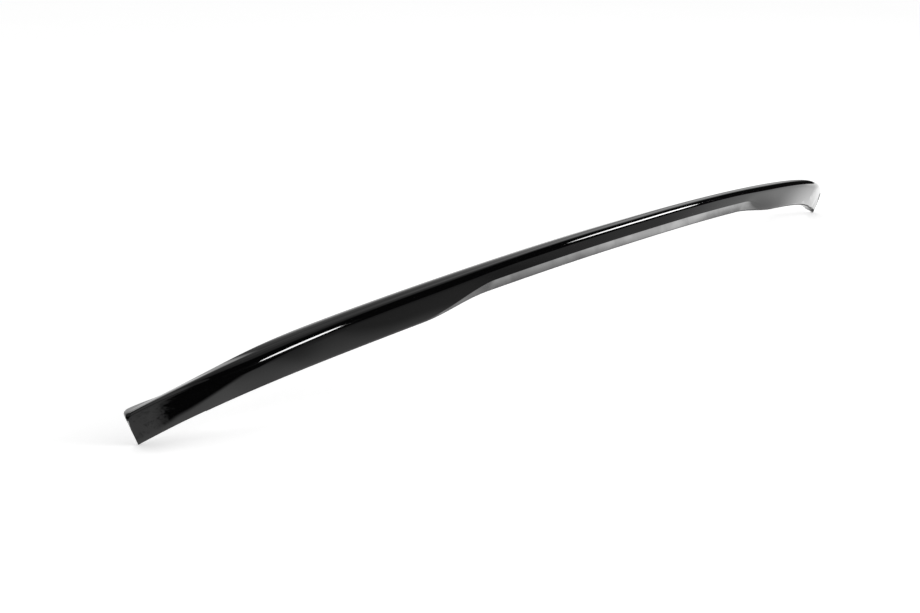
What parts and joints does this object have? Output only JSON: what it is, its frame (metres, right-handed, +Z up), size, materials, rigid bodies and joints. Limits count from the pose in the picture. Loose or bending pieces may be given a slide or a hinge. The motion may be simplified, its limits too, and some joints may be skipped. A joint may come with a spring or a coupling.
{
  "type": "rear spoiler",
  "caption": "Slim gloss-black boot-lid lip spoiler: an arched, thin-walled blade with an undercut strip in the middle and full-height wings, with adhesive tape beneath.",
  "frame": {"origin": "middle of the front tape's bonding face, on the mid-plane", "axes": "X across the car, +Y towards the car's nose, +Z up; the rear face looks along -Y"},
  "size_m": [1.2, 0.0926, 0.0891],
  "materials": {
    "gloss_black": "high-gloss black lacquer on moulded plastic",
    "tape": "double-sided acrylic foam tape with a white release liner"
  },
  "bodies": {
    "root": {"spoiler": "gloss_black", "front_tape": "tape", "rear_tape": "tape"}
  },
  "joints": []
}
